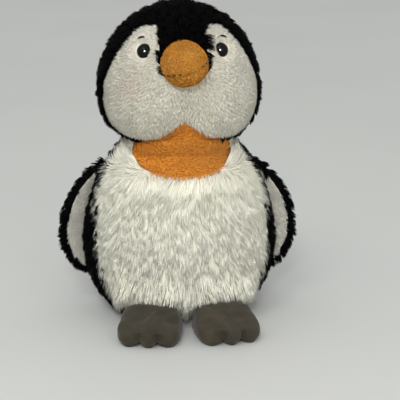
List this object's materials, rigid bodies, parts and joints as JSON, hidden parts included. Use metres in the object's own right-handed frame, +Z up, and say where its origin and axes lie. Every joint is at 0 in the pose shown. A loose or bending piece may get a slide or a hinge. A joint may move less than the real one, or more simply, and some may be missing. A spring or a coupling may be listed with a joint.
{
  "type": "plush penguin",
  "caption": "Standing plush penguin with a round white belly, orange beak and throat, side flippers, glossy eyes and flat suede feet.",
  "frame": {"origin": "middle of the flat base, under the neck, on the plane the toy stands on", "axes": "+Z up, the toy faces -Y, +X towards the toy's own left"},
  "size_m": [0.1582, 0.127, 0.2053],
  "materials": {
    "black_plush": "matte",
    "white_plush": "matte",
    "orange_plush": "matte",
    "taupe_suede": "matte",
    "filling": "matte",
    "satin_ribbon": "satin",
    "thread": "matte",
    "pouch_cotton": "matte",
    "eye_plastic": "gloss",
    "washer_plastic": "matte",
    "pellet_plastic": "satin"
  },
  "bodies": {
    "body": {"body_back_left": "black_plush", "body_back_right": "black_plush", "belly_panel": "white_plush", "throat_patch": "orange_plush", "body_base": "black_plush", "body_stuffing": "filling", "pellet_pouch": "pouch_cotton", "pellets": "pellet_plastic", "closing_stitches": "thread", "wing_left_seam": "thread", "wing_right_seam": "thread", "foot_left_seam": "thread", "foot_right_seam": "thread", "label_seam": "thread"},
    "neck": {"neck_core": "filling", "neck_band": "black_plush"},
    "head": {"head_crown": "black_plush", "head_back_left": "black_plush", "head_back_right": "black_plush", "chin_gusset": "black_plush", "throat_gusset": "orange_plush", "cheek_left": "white_plush", "cheek_right": "white_plush", "head_stuffing": "filling", "beak_upper": "orange_plush", "beak_lower": "orange_plush", "beak_stuffing": "filling", "mouth_stitches": "thread", "eye_left": "eye_plastic", "eye_right": "eye_plastic", "eye_washer_left": "washer_plastic", "eye_washer_right": "washer_plastic", "brow_stitch_left": "thread", "brow_stitch_right": "thread"},
    "wing_left": {"wing_left_back": "black_plush", "wing_left_front": "white_plush", "wing_left_stuffing": "filling", "wing_left_hem": "black_plush"},
    "wing_right": {"wing_right_back": "black_plush", "wing_right_front": "white_plush", "wing_right_stuffing": "filling", "wing_right_hem": "black_plush"},
    "foot_left": {"foot_left_upper": "taupe_suede", "foot_left_sole": "taupe_suede", "foot_left_stuffing": "filling", "foot_left_hem": "taupe_suede"},
    "foot_right": {"foot_right_upper": "taupe_suede", "foot_right_sole": "taupe_suede", "foot_right_stuffing": "filling", "foot_right_hem": "taupe_suede"},
    "label": {"care_label": "satin_ribbon"}
  },
  "joints": [
    {"name": "head_turn", "type": "hinge", "parent": "body", "child": "neck", "pos_m": [0, 0, 0.114], "axis": [0, 0, 1], "range_deg": [-20, 20], "stiffness_Nm_per_rad": 0.4},
    {"name": "head_nod", "type": "hinge", "parent": "neck", "child": "head", "pos_m": [0, 0, 0.114], "axis": [1, 0, 0], "range_deg": [-10, 12], "stiffness_Nm_per_rad": 0.8},
    {"name": "wing_left_swing", "type": "hinge", "parent": "body", "child": "wing_left", "pos_m": [0.0451, 0.008, 0.104], "axis": [0, -1, 0], "range_deg": [0, 70], "stiffness_Nm_per_rad": 0.03},
    {"name": "wing_right_swing", "type": "hinge", "parent": "body", "child": "wing_right", "pos_m": [-0.0451, 0.008, 0.104], "axis": [0, 1, 0], "range_deg": [0, 70], "stiffness_Nm_per_rad": 0.03},
    {"name": "foot_left_lift", "type": "hinge", "parent": "body", "child": "foot_left", "pos_m": [0.0215, -0.0416, 0.013], "axis": [-0.9903, -0.1392, 0], "range_deg": [0, 25], "stiffness_Nm_per_rad": 0.03},
    {"name": "foot_right_lift", "type": "hinge", "parent": "body", "child": "foot_right", "pos_m": [-0.0215, -0.0416, 0.013], "axis": [-0.9903, 0.1392, 0], "range_deg": [0, 25], "stiffness_Nm_per_rad": 0.03},
    {"name": "label_flap", "type": "hinge", "parent": "body", "child": "label", "pos_m": [0, 0.0441, 0.044], "axis": [1, 0, 0], "range_deg": [0, 100]}
  ]
}
